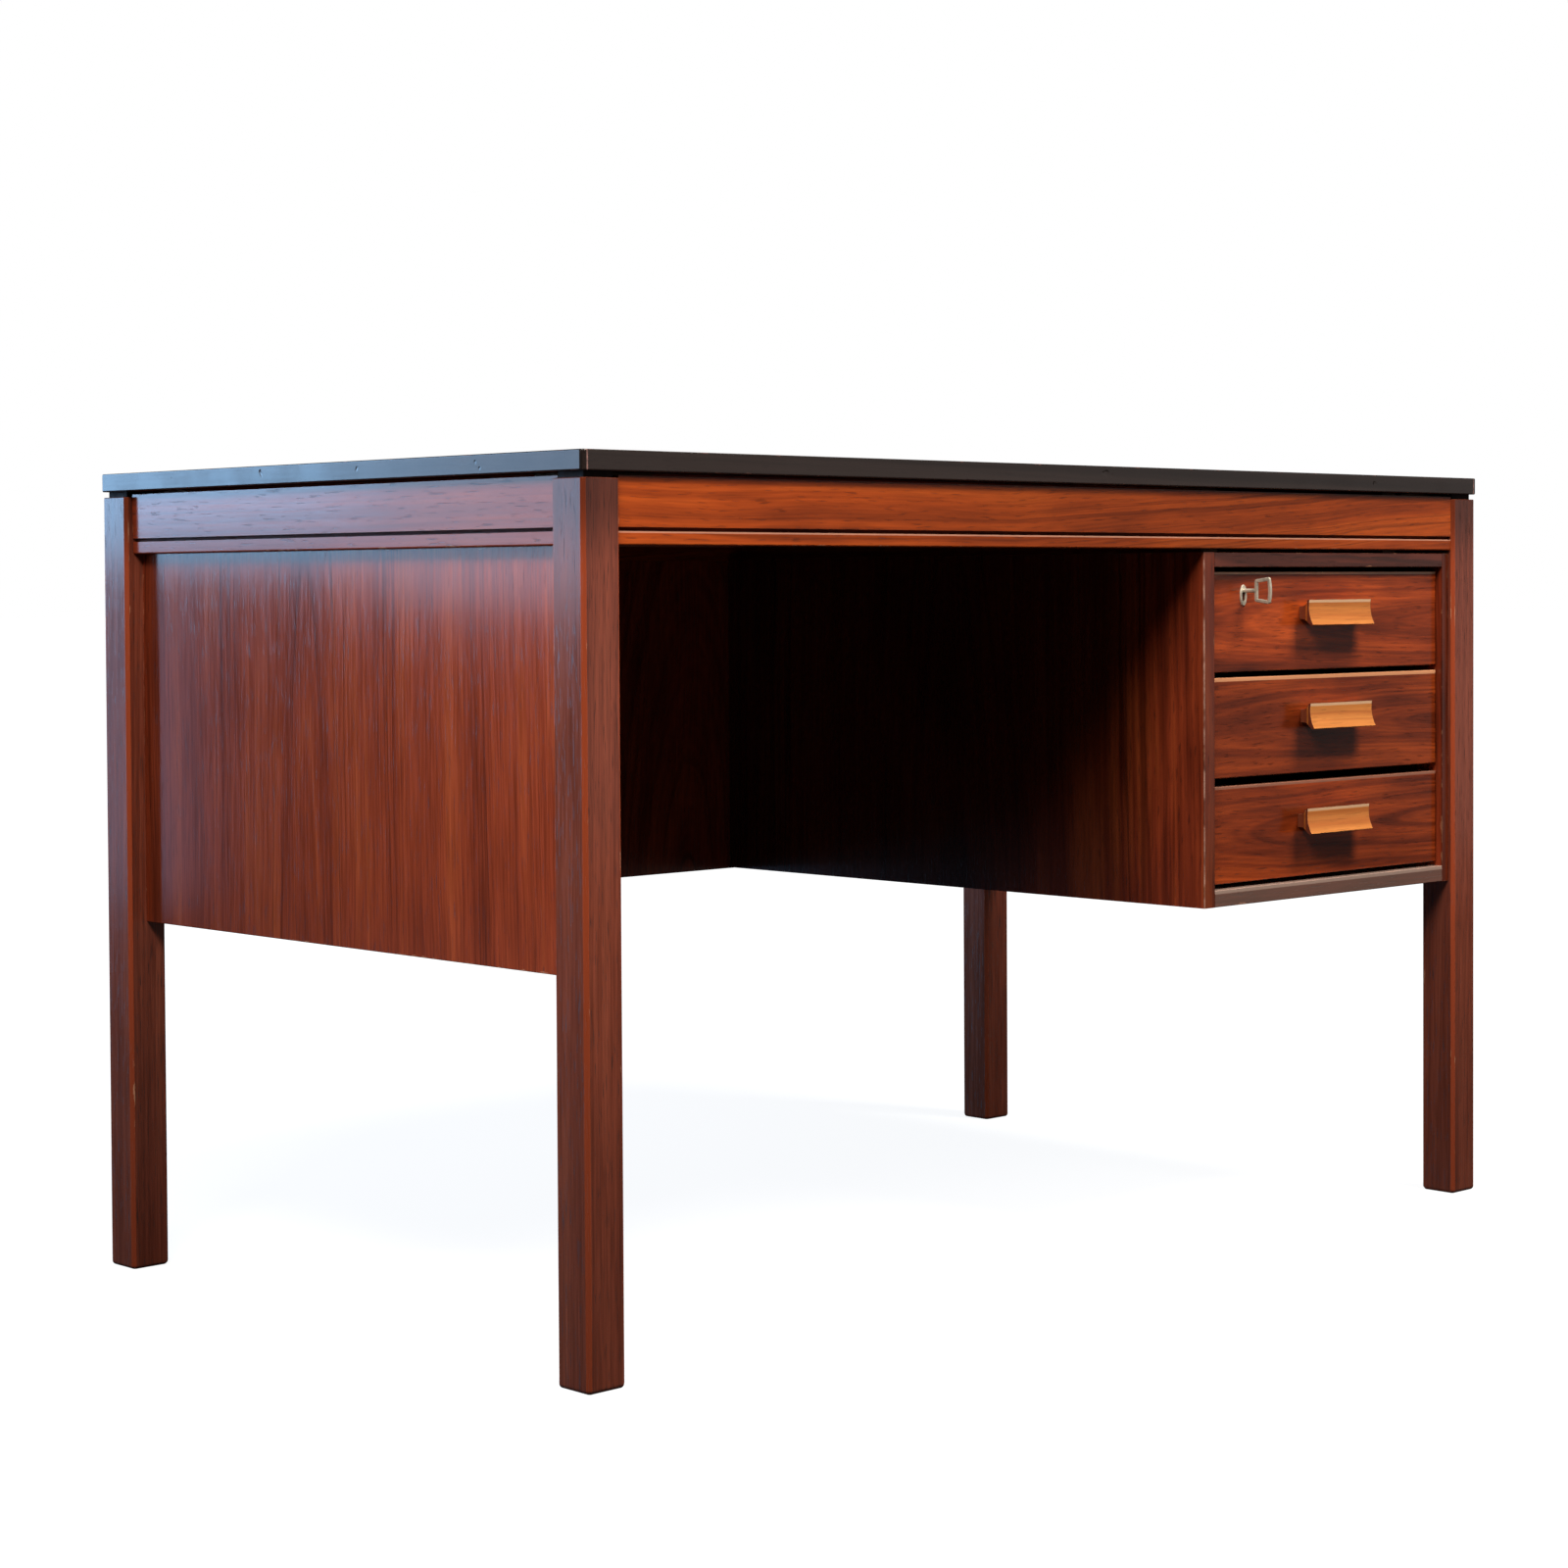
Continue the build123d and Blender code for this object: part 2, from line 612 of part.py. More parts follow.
# The key's bow is a closed ring in the vertical plane of its bit.
# It is drawn with x pointing out of the desk and y pointing up.
bow_start = key_reach - key_bow_depth
bow_plane = Plane(origin=(key_x, front_y[0], key_z), x_dir=(0, -1, 0), z_dir=(-1, 0, 0))
inner_half = key_bow_inner_height / 2
outer_half = key_bow_outer_height / 2
with BuildPart() as key:
    with BuildSketch(bow_plane) as bow:
        with BuildLine():
            bow_outline = [
                (bow_start, inner_half),
                (bow_start, -inner_half),
                (key_reach - key_bow_bulge, -outer_half),
                (key_reach - key_bow_bulge, outer_half),
            ]
            Line(bow_outline[0], bow_outline[1])
            Line(bow_outline[1], bow_outline[2])
            ThreePointArc(bow_outline[2], (key_reach, 0), bow_outline[3])
            Line(bow_outline[3], bow_outline[0])
        make_face()
        fillet(bow.vertices(), 2.4)
        offset(amount=-key_ring_width, mode=Mode.SUBTRACT)
    extrude(amount=key_thickness / 2, both=True)
    bow_rims = key.edges().group_by(Axis.X)
    fillet(bow_rims[0] + bow_rims[-1], key_thickness * 0.3)
    shaft_plane = Plane(origin=(key_x, front_y[0] - bow_start - 1, key_z), z_dir=(0, 1, 0))
    shaft_length = bow_start + 1 + front_thickness - lock_wall - 1
    with Locations(shaft_plane):
        Cylinder(
            key_shaft_diameter / 2,
            shaft_length,
            align=(Align.CENTER, Align.CENTER, Align.MIN),
        )
    board(
        (key_x - key_bit_thickness / 2, key_x + key_bit_thickness / 2),
        (bolt_y[0] + bolt_clearance, bolt_y[1] - bolt_clearance),
        (key_z - key_bit_radius, key_z),
    )
key.part.label = "key"
export_step(key.part, "parts/key.step")

# ---------------------------------------------------------------- drawers
# The handle's section is drawn with x pointing out of the desk and y pointing up;
# its plan has x along the desk and y pointing out of the desk.
half_height = handle_height / 2
half_neck = handle_neck_height / 2
lip_back = handle_bottom_reach - handle_lip
top_back = handle_top_reach - handle_lip
for name, front_top, front_bottom, handle_offset in zip(
    drawer_names, drawer_front_tops, drawer_front_bottoms, handle_offsets
):
    box_z = (front_bottom + box_rise, front_bottom + box_rise + box_height)
    bottom_z = (box_z[0] + drawer_bottom_rise, box_z[0] + drawer_bottom_rise + drawer_bottom_thickness)
    runner_z = box_z[0] + runner_rise
    inner_x = (front_x[0] + box_wall, front_x[1] - box_wall)
    handle_x = sum(front_x) / 2 + handle_offset
    handle_z = (front_top + front_bottom) / 2 + handle_rise

    with BuildPart() as drawer_bottom:
        board(
            (inner_x[0] - drawer_bottom_engagement, inner_x[1] + drawer_bottom_engagement),
            (front_y[1] - 6, box_end_y),
            bottom_z,
        )
    drawer_bottom.part.label = f"{name}_bottom"
    export_step(drawer_bottom.part, f"parts/{name}_bottom.step")

    with BuildPart() as drawer_back:
        board(inner_x, (box_end_y - box_wall, box_end_y), (bottom_z[1], box_z[1] - box_back_drop))
    drawer_back.part.label = f"{name}_back"
    export_step(drawer_back.part, f"parts/{name}_back.step")

    side_parts = []
    for side, outer_x, inwards in (("left", front_x[0], 1), ("right", front_x[1], -1)):
        faces = sorted((outer_x, outer_x + inwards * box_wall))
        with BuildPart() as drawer_side:
            board(faces, (front_y[1], box_end_y), box_z)
            for tail in range(tail_count):
                tail_z = box_z[0] + tail_pitch * (tail + 0.5)
                with BuildSketch(Plane(origin=(faces[0], front_y[1], tail_z), x_dir=(0, 1, 0),
                                       z_dir=(1, 0, 0))):
                    Polygon(
                        (0, -tail_base / 2),
                        (-box_wall, -tail_tip / 2),
                        (-box_wall, tail_tip / 2),
                        (0, tail_base / 2),
                        align=None,
                    )
                extrude(amount=box_wall)
            board(
                sorted((outer_x, outer_x + inwards * runner_groove_depth)),
                (runner_y[0] - runner_clearance, box_end_y),
                (
                    runner_z - runner_height / 2 - 2 * runner_clearance,
                    runner_z + runner_height / 2 + runner_clearance,
                ),
                mode=Mode.SUBTRACT,
            )
            add(drawer_bottom.part, mode=Mode.SUBTRACT)
        drawer_side.part.label = f"{name}_side_{side}"
        export_step(drawer_side.part, f"parts/{name}_side_{side}.step")
        side_parts.append(drawer_side.part)

    handle_screw_places = [
        (handle_x + shift, front_y[1], handle_z)
        for shift in (-handle_screw_spacing / 2, handle_screw_spacing / 2)
    ]
    with BuildPart() as handle_screw_blanks:
        screws(handle_screw_places, (0, -1, 0), front_thickness + 11, shank=4, head=8)
    with BuildPart() as handle_screws:
        add(handle_screw_blanks.part)
        screw_slots(handle_screw_places, (0, -1, 0), head=8)
    handle_screws.part.label = f"{name}_handle_screws"
    export_step(handle_screws.part, f"parts/{name}_handle_screws.step")

    section_plane = Plane(origin=(handle_x, front_y[0], handle_z), x_dir=(0, -1, 0), z_dir=(-1, 0, 0))
    plan_plane = Plane(
        origin=(handle_x, front_y[0], handle_z - handle_height),
        x_dir=(-1, 0, 0),
        z_dir=(0, 0, 1),
    )
    with BuildPart() as handle:
        with BuildSketch(section_plane):
            with BuildLine():
                Line((0, -half_neck), (0, half_neck))
                ThreePointArc(
                    (0, half_neck),
                    (top_back * 0.55, half_neck + 1.1),
                    (top_back, half_height - 0.6),
                )
                Line((top_back, half_height - 0.6), (handle_top_reach, half_height))
                ThreePointArc(
                    (handle_top_reach, half_height),
                    (sum((handle_top_reach, handle_bottom_reach)) / 2 - 2.1, -0.5),
                    (handle_bottom_reach, -half_height + 0.8),
                )
                Line((handle_bottom_reach, -half_height + 0.8), (lip_back, -half_height))
                ThreePointArc(
                    (lip_back, -half_height),
                    (lip_back * 0.55, -half_neck - 1.4),
                    (0, -half_neck),
                )
            make_face()
        extrude(amount=handle_length / 2, both=True)
        with BuildSketch(plan_plane):
            with BuildLine():
                Line((-handle_neck_length / 2, 0), (handle_neck_length / 2, 0))
                ThreePointArc(
                    (handle_neck_length / 2, 0),
                    (handle_neck_length / 2 + 1.2, top_back * 0.55),
                    (handle_length / 2, top_back),
                )
                Line((handle_length / 2, top_back), (handle_length / 2, handle_bottom_reach + 1))
                Line(
                    (handle_length / 2, handle_bottom_reach + 1),
                    (-handle_length / 2, handle_bottom_reach + 1),
                )
                Line((-handle_length / 2, handle_bottom_reach + 1), (-handle_length / 2, top_back))
                ThreePointArc(
                    (-handle_length / 2, top_back),
                    (-handle_neck_length / 2 - 1.2, top_back * 0.55),
                    (-handle_neck_length / 2, 0),
                )
            make_face()
        extrude(amount=2 * handle_height, mode=Mode.INTERSECT)
        add(handle_screw_blanks.part, mode=Mode.SUBTRACT)
    handle.part.label = f"{name}_handle"
    export_step(handle.part, f"parts/{name}_handle.step")

    with BuildPart() as drawer_front:
        board(front_x, front_y, (front_bottom, front_top))
        face_edges = drawer_front.edges().group_by(Axis.Y)[0]
        fillet(face_edges, edge_softening)
        for side_part in side_parts:
            add(side_part, mode=Mode.SUBTRACT)
        add(drawer_bottom.part, mode=Mode.SUBTRACT)
        add(handle_screw_blanks.part, mode=Mode.SUBTRACT)
        if name == drawer_names[0]:
            add(lock_envelope.part, mode=Mode.SUBTRACT)
            add(lock_screw_blanks.part, mode=Mode.SUBTRACT)
            extrude(keyhole.sketch, amount=-front_thickness, mode=Mode.SUBTRACT)
    drawer_front.part.label = f"{name}_front"
    export_step(drawer_front.part, f"parts/{name}_front.step")
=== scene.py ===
import math

import bpy
from mathutils import Matrix, Vector


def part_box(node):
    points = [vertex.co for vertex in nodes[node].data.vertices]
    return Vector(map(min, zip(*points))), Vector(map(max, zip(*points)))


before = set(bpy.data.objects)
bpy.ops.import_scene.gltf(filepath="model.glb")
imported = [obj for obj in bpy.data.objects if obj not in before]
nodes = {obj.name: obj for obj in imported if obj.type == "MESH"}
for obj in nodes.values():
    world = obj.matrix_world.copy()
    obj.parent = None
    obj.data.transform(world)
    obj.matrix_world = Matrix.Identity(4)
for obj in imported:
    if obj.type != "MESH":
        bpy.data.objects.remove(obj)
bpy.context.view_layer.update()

scene = bpy.context.scene

# ---------------------------------------------------------------- camera
CAMERA_PLACE = Vector((-2.1866, -2.2183, 0.6275))
CAMERA_YAW = math.radians(43.704)
CAMERA_PITCH = math.radians(1.506)
CAMERA_ROLL = math.radians(0.316)
CAMERA_LENS = 73.3
CAMERA_SENSOR_WIDTH = 36.0
CAMERA_SHIFT_Y = -0.0728
CAMERA_CLIP_END = 200.0


def make_camera():
    """A camera just below the top's height, off the desk's front left corner, looking slightly down."""
    data = bpy.data.cameras.new("camera")
    data.lens = CAMERA_LENS
    data.sensor_width = CAMERA_SENSOR_WIDTH
    data.shift_y = CAMERA_SHIFT_Y
    data.clip_end = CAMERA_CLIP_END
    level = math.cos(CAMERA_PITCH)
    forward = Vector((math.sin(CAMERA_YAW) * level, math.cos(CAMERA_YAW) * level, -math.sin(CAMERA_PITCH)))
    right = Vector((math.cos(CAMERA_YAW), -math.sin(CAMERA_YAW), 0.0))
    down = forward.cross(right)
    rolled_right = math.cos(CAMERA_ROLL) * right + math.sin(CAMERA_ROLL) * down
    rolled_down = math.cos(CAMERA_ROLL) * down - math.sin(CAMERA_ROLL) * right
    turn = Matrix((rolled_right, -rolled_down, -forward)).transposed()
    camera = bpy.data.objects.new("camera", data)
    camera.matrix_world = Matrix.Translation(CAMERA_PLACE) @ turn.to_4x4()
    scene.collection.objects.link(camera)
    scene.camera = camera


# ---------------------------------------------------------------- shader building
def srgb(red, green, blue):
    """A colour given as 0-255 display values, as the linear values that a shader takes."""
    def linear(value):
        value = value / 255.0
        return value / 12.92 if value <= 0.04045 else ((value + 0.055) / 1.055) ** 2.4
    return (linear(red), linear(green), linear(blue))


class Shader:
    """One material's node tree, with a short method for each kind of node it uses."""

    def __init__(self, name):
        self.material = bpy.data.materials.new(name)
        self.material.use_nodes = True
        self.tree = self.material.node_tree
        self.tree.nodes.clear()

    def node(self, kind, inputs, **settings):
        """Adds a node. inputs gives its sockets values or links, and settings its own properties."""
        made = self.tree.nodes.new(kind)
        for key, value in settings.items():
            setattr(made, key, value)
        for key, value in inputs.items():
            socket = made.inputs[key]
            if isinstance(value, bpy.types.NodeSocket):
                self.tree.links.new(value, socket)
            elif isinstance(value, tuple) and len(value) == 3 and socket.type == "RGBA":
                socket.default_value = (*value, 1.0)
            else:
                socket.default_value = value
        return made

    def math(self, operation, a, b=0.0, c=0.0):
        return self.node("ShaderNodeMath", {0: a, 1: b, 2: c}, operation=operation).outputs[0]

    def add(self, a, b):
        return self.math("ADD", a, b)

    def subtract(self, a, b):
        return self.math("SUBTRACT", a, b)

    def multiply(self, a, b):
        return self.math("MULTIPLY", a, b)

    def place(self):
        """The point's x, y and z in the desk's frame, in metres."""
        coordinates = self.node("ShaderNodeTexCoord", {}).outputs["Object"]
        return self.node("ShaderNodeSeparateXYZ", {0: coordinates}).outputs

    def vector(self, x, y, z):
        return self.node("ShaderNodeCombineXYZ", {0: x, 1: y, 2: z}).outputs[0]

    def noise(self, vector, detail=2.0, roughness=0.5):
        inputs = {"Vector": vector, "Scale": 1.0, "Detail": detail, "Roughness": roughness}
        return self.node("ShaderNodeTexNoise", inputs, noise_dimensions="3D").outputs["Fac"]

    def spotted(self, place, per_metre, seed, detail=2.0, roughness=0.5):
        """Noise with the same scale, in cells per metre, in all directions or in each of x, y and z."""
        scales = per_metre if isinstance(per_metre, tuple) else (per_metre,) * 3
        scaled = [self.math("MULTIPLY_ADD", axis, scale, seed) for axis, scale in zip(place, scales)]
        return self.noise(self.vector(*scaled), detail, roughness)

    def fade(self, value, low, high, to_low=0.0, to_high=1.0):
        """Moves the range low..high smoothly to to_low..to_high, and holds it there."""
        inputs = {0: value, 1: low, 2: high, 3: to_low, 4: to_high}
        return self.node("ShaderNodeMapRange", inputs, interpolation_type="SMOOTHSTEP").outputs[0]

    def ramp(self, value, stops):
        """A colour ramp with one (position, colour) for each stop."""
        made = self.node("ShaderNodeValToRGB", {0: value})
        elements = made.color_ramp.elements
        while len(elements) < len(stops):
            elements.new(1.0)
        for element, (position, colour) in zip(elements, stops):
            element.position = position
            element.color = (*colour, 1.0)
        return made.outputs[0]

    def mix(self, factor, a, b):
        """Goes from colour a to colour b."""
        return self.node("ShaderNodeMix", {0: factor, 6: a, 7: b}, data_type="RGBA").outputs[2]

    def shade(self, colour, amount):
        """Multiplies a colour by a grey amount."""
        grey = self.node("ShaderNodeCombineColor", {0: amount, 1: amount, 2: amount}).outputs[0]
        return self.node("ShaderNodeMix", {0: 1.0, 6: colour, 7: grey}, data_type="RGBA",
                         blend_type="MULTIPLY").outputs[2]

    def edge_distance(self, place, box):
        """Distance in metres from the nearest edge of a node's box, for points on its faces."""
        a, b, c = (
            self.math("MINIMUM", self.subtract(axis, start), self.subtract(end, axis))
            for axis, start, end in zip(place, *box)
        )
        nearer = self.math("MINIMUM", a, b)
        farther = self.math("MINIMUM", self.math("MAXIMUM", a, b), c)
        return self.math("MAXIMUM", nearer, farther)

    def bump(self, height, strength, distance):
        inputs = {"Height": height, "Strength": strength, "Distance": distance}
        return self.node("ShaderNodeBump", inputs).outputs[0]

    def finish(self, colour, roughness, normal=None, **fixed):
        """Ends the tree in a Principled shader. fixed holds plain values for its other sockets."""
        inputs = {"Base Color": colour, "Roughness": roughness}
        if normal is not None:
            inputs["Normal"] = normal
        inputs.update({key.replace("_", " "): value for key, value in fixed.items()})
        shader = self.node("ShaderNodeBsdfPrincipled", inputs)
        self.node("ShaderNodeOutputMaterial", {"Surface": shader.outputs[0]})
        return self.material


# ---------------------------------------------------------------- wood
FIBRES_PER_METRE = 360.0
FIBRES_PER_METRE_ALONG = 16.0
PORES_PER_METRE = 520.0
PORES_PER_METRE_ALONG = 48.0
RUBBED = srgb(200, 140, 104)
RUBBED_REACH = 0.0020
GROOVE_RISE = 0.011
GROOVE_HEIGHT = 0.0032
GROOVE_MARGIN = 0.0001
# Painted shade: the share of the colour kept on the groove's walls.
GROOVE_PAINTED_SHADE = 0.22


class Grain:
    """The figure of a board sawn from a log, from coordinates along, across and through it in metres.

    centre and apex place the tree's axis across and along the board. cut is how far the board lies
    from the axis at the apex and tilt is how fast that grows along it, which together draw arches.
    rings is the number of growth rings per metre, warp is how far they wander, in metres, and bend
    is how many times per metre along the board. slant is how fast the streaks climb across the
    board past the apex, and fineness scales the number of fibres and pores.
    """

    def __init__(self, shader, along, across, depth, seed, centre=0.0, apex=0.0, cut=0.06, tilt=0.05,
                 rings=90.0, warp=0.03, bend=1.3, slant=0.0, fineness=1.0):
        drift = self.wander(shader, along, across, depth, (bend, 4.0), seed)
        ripple = self.wander(shader, along, across, depth, (8.0, 30.0), seed + 7.3)
        sideways = shader.math("MULTIPLY_ADD", drift, warp, shader.subtract(across, centre))
        sideways = shader.math("MULTIPLY_ADD", ripple, warp * 0.16, sideways)
        past_apex = shader.math("MAXIMUM", shader.subtract(along, apex), 0.0)
        sideways = shader.math("MULTIPLY_ADD", past_apex, -slant, sideways)
        rise = shader.math("MULTIPLY_ADD", shader.subtract(along, apex), tilt, cut)
        squares = shader.math("MULTIPLY_ADD", sideways, sideways, shader.multiply(rise, rise))
        radius = shader.math("MULTIPLY_ADD", depth, 0.4, shader.math("SQRT", squares))

        def layer(frequency, run, shift, detail, roughness=0.5):
            rings_out = shader.multiply(radius, frequency)
            vector = shader.vector(rings_out, shader.multiply(along, run), seed + shift)
            return shader.noise(vector, detail, roughness)

        streaks = layer(rings, 1.1, 0.0, 3.0, 0.6)
        bands = layer(rings * 0.2, 0.6, 3.1, 1.0)
        self.figure = shader.math("MULTIPLY_ADD", streaks, 0.55, shader.multiply(bands, 0.45))
        veins = shader.math("ABSOLUTE", shader.subtract(layer(rings * 0.55, 0.8, 9.4, 2.0), 0.5))
        strength = shader.fade(layer(rings * 0.15, 1.6, 5.7, 1.0), 0.38, 0.62)
        self.veins = shader.multiply(shader.fade(veins, 0.045, 0.008), strength)
        thread = shader.vector(
            shader.math("MULTIPLY_ADD", along, FIBRES_PER_METRE_ALONG, seed),
            shader.multiply(sideways, FIBRES_PER_METRE * fineness),
            shader.multiply(depth, FIBRES_PER_METRE * fineness),
        )
        self.fibre = shader.noise(thread, 2.0, 0.6)
        dashes = shader.vector(
            shader.math("MULTIPLY_ADD", along, PORES_PER_METRE_ALONG, seed),
            shader.multiply(sideways, PORES_PER_METRE * fineness),
            shader.multiply(depth, PORES_PER_METRE * fineness),
        )
        self.pores = shader.fade(shader.noise(dashes, 1.0), 0.62, 0.70)
        self.patches = self.wander(shader, along, across, depth, (7.0, 22.0), seed + 13.0)

    @staticmethod
    def wander(shader, along, across, depth, scales, seed):
        """Slow noise about zero."""
        run, side = scales
        vector = shader.vector(
            shader.math("MULTIPLY_ADD", along, run, seed),
            shader.math("MULTIPLY_ADD", across, side, seed),
            shader.multiply(depth, side),
        )
        return shader.subtract(shader.noise(vector, 2.0), 0.5)


def oriented(place, order):
    """The place's coordinates along, across and through a board, as in "zyx"."""
    return [place["xyz".index(letter)] for letter in order]


def lacquered(name, order, seed, tones, vein=0.55, contrast=1.0, rubbed=False, roughness=0.18, paint=None,
              bump=0.12, thread=0.18, gloss=0.5, groove=None, **grain_settings):
    """Satin-lacquered veneer or solid wood with dark veins and open pores, for the node called name.

    tones are the figure's dark, middle and light colours, and contrast is how sharply it changes
    between them. vein and thread are the strengths of the veins and the fibres. rubbed makes the
    edges of the node's box pale in places, and paint(shader, place, colour) may change the colour
    further. bump is the relief of the grain, and gloss the strength of the lacquer's mirror image.
    groove is the (low, high) z of a groove with dull walls, darkened with painted shade.
    """
    dark, middle, light = tones
    shader = Shader(name)
    place = shader.place()
    grain = Grain(shader, *oriented(place, order), seed, **grain_settings)
    tone = shader.math("MULTIPLY_ADD", grain.patches, 0.35, grain.figure)
    spread = 0.16 / contrast
    colour = shader.ramp(tone, ((0.5 - spread, dark), (0.5, middle), (0.5 + spread, light)))
    colour = shader.shade(colour, shader.fade(grain.fibre, 0.28, 0.72, 1.0 - thread, 1.0 + thread))
    colour = shader.mix(shader.multiply(grain.veins, vein), colour, tuple(0.35 * c for c in dark))
    colour = shader.mix(shader.multiply(grain.pores, 0.45), colour, tuple(0.3 * c for c in dark))
    if rubbed:
        rubbing = shader.spotted(place, 45.0, seed, 3.0, 0.65)
        reach = shader.fade(rubbing, 0.52, 0.75, 0.0, RUBBED_REACH)
        near = shader.math("LESS_THAN", shader.edge_distance(place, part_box(name)), reach)
        colour = shader.mix(shader.multiply(near, 0.45), colour, RUBBED)
    if paint is not None:
        colour = paint(shader, place, colour)
    dull = shader.fade(grain.fibre, 0.2, 0.8, roughness - 0.02, roughness + 0.04)
    dull = shader.math("MULTIPLY_ADD", grain.pores, 0.13, dull)
    if groove is not None:
        # Painted shade darkens the groove's walls, which are also made rougher.
        above = shader.math("GREATER_THAN", place[2], groove[0] + GROOVE_MARGIN)
        inside = shader.multiply(above, shader.math("LESS_THAN", place[2], groove[1] + GROOVE_MARGIN))
        colour = shader.shade(colour, shader.math("MULTIPLY_ADD", inside, GROOVE_PAINTED_SHADE - 1.0, 1.0))
        dull = shader.math("MULTIPLY_ADD", inside, 0.7, dull)
    relief = shader.subtract(shader.multiply(grain.fibre, 0.5), grain.pores)
    return shader.finish(colour, dull, shader.bump(relief, bump, 0.0002), IOR=1.5, Specular_IOR_Level=gloss)


def bare_wood(name, order, seed, light, dark, roughness=0.6, rings=120.0, paint=None, **grain_settings):
    """Unfinished or oiled light wood with a quiet straight grain. paint may change its colour."""
    shader = Shader(name)
    place = shader.place()
    grain = Grain(shader, *oriented(place, order), seed, rings=rings, **grain_settings)
    colour = shader.mix(shader.fade(grain.figure, 0.35, 0.65), dark, light)
    colour = shader.shade(colour, shader.fade(grain.fibre, 0.25, 0.75, 0.88, 1.08))
    colour = shader.mix(shader.multiply(grain.pores, 0.3), colour, tuple(0.4 * c for c in dark))
    if paint is not None:
        colour = paint(shader, place, colour)
    dull = shader.fade(grain.fibre, 0.2, 0.8, roughness - 0.06, roughness + 0.08)
    relief = shader.subtract(grain.fibre, grain.pores)
    return shader.finish(colour, dull, shader.bump(relief, 0.2, 0.0002))


def metal(name, colour, roughness, seed, metallic=1.0):
    """Worn plated metal with fine scratches and dull patches."""
    shader = Shader(name)
    place = shader.place()
    patches = shader.spotted(place, 160.0, seed, 4.0)
    scratches = shader.spotted(place, (900.0, 4000.0, 600.0), seed, 2.0)
    tint = shader.mix(shader.fade(patches, 0.35, 0.7), colour, tuple(0.6 * c for c in colour))
    patchy = shader.fade(patches, 0.3, 0.7, roughness - 0.08, roughness + 0.12)
    dull = shader.math("MULTIPLY_ADD", scratches, 0.06, patchy)
    return shader.finish(tint, dull, shader.bump(scratches, 0.12, 0.0001), Metallic=metallic)


LEG_CHAMFER = 0.003
# Metres above the floor and below the leg's top, at the two ends of each fade: painted shade towards the
# foot, and painted shadow under the top.
LEG_FOOT_PAINTED_SHADE = (0.02, 0.45)
LEG_TOP_PAINTED_SHADOW = (0.075, 0.012)
CHIP_REACH = 0.0020


def leg_wood(name, seed):
    """Dark red-brown stained open-grain wood, redder and lighter on the chamfers as worn finish with a
    painted highlight, chipped along the edges.

    Painted shade darkens it towards the foot, and a painted shadow darkens it most just under the top.
    """
    low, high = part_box(name)
    middle = [(a + b) / 2 for a, b in zip(low, high)]
    half = (high[0] - low[0]) / 2
    shader = Shader(name)
    x, y, z = place = shader.place()
    grain = Grain(shader, z, x, y, seed, centre=middle[0] + 0.05, cut=0.03, tilt=0.02, rings=300.0,
                  warp=0.006, fineness=1.7)
    tone = shader.math("MULTIPLY_ADD", grain.patches, 0.3, grain.figure)
    stops = ((0.26, srgb(98, 46, 34)), (0.5, srgb(132, 66, 48)), (0.74, srgb(156, 84, 62)))
    colour = shader.ramp(tone, stops)
    colour = shader.shade(colour, shader.fade(grain.fibre, 0.28, 0.72, 0.78, 1.2))
    colour = shader.mix(shader.multiply(grain.pores, 0.6), colour, srgb(30, 12, 10))
    off_x = shader.math("ABSOLUTE", shader.subtract(x, middle[0]))
    off_y = shader.math("ABSOLUTE", shader.subtract(y, middle[1]))
    corner = shader.add(off_x, off_y)
    flat = 2 * half - LEG_CHAMFER
    chamfer = shader.fade(corner, flat - 0.0007, flat - 0.0001)
    # Worn finish and painted highlight: the chamfers lighter and redder.
    colour = shader.mix(shader.multiply(chamfer, 0.7), colour, srgb(182, 80, 44))
    farther = shader.math("ABSOLUTE", shader.subtract(shader.math("MAXIMUM", off_x, off_y), half))
    inner = shader.math("MINIMUM", off_x, off_y)
    nearer = shader.math("ABSOLUTE", shader.subtract(inner, half - LEG_CHAMFER))
    ridge = shader.add(farther, nearer)
    rubbing = shader.spotted(place, (300.0, 300.0, 26.0), seed, 4.0, 0.7)
    places = shader.fade(shader.spotted(place, 9.0, seed + 4.0, 1.0), 0.54, 0.64)
    reach = shader.multiply(shader.fade(rubbing, 0.55, 0.72, 0.0, CHIP_REACH), places)
    chipped = shader.math("LESS_THAN", ridge, reach)
    colour = shader.mix(shader.multiply(chipped, 0.8), colour, srgb(222, 164, 128))
    # Painted shade, darker towards the foot.
    colour = shader.shade(colour, shader.fade(z, *LEG_FOOT_PAINTED_SHADE, 0.66, 1.0))
    # Painted shadow just under the top.
    top_shadow_heights = [high[2] - depth for depth in LEG_TOP_PAINTED_SHADOW]
    colour = shader.shade(colour, shader.fade(z, *top_shadow_heights, 1.0, 0.42))
    relief = shader.subtract(shader.multiply(grain.fibre, 0.7), grain.pores)
    dull = shader.fade(grain.fibre, 0.2, 0.8, 0.12, 0.19)
    dull = shader.math("MULTIPLY_ADD", grain.pores, 0.35, dull)
    return shader.finish(colour, dull, shader.bump(relief, 0.2, 0.0003), IOR=1.5)


TOP_CORNER_RADIUS = 0.004
CORNER_LINE_HALF_WIDTH = 0.0007
EDGE_RUB_REACH = 0.0016


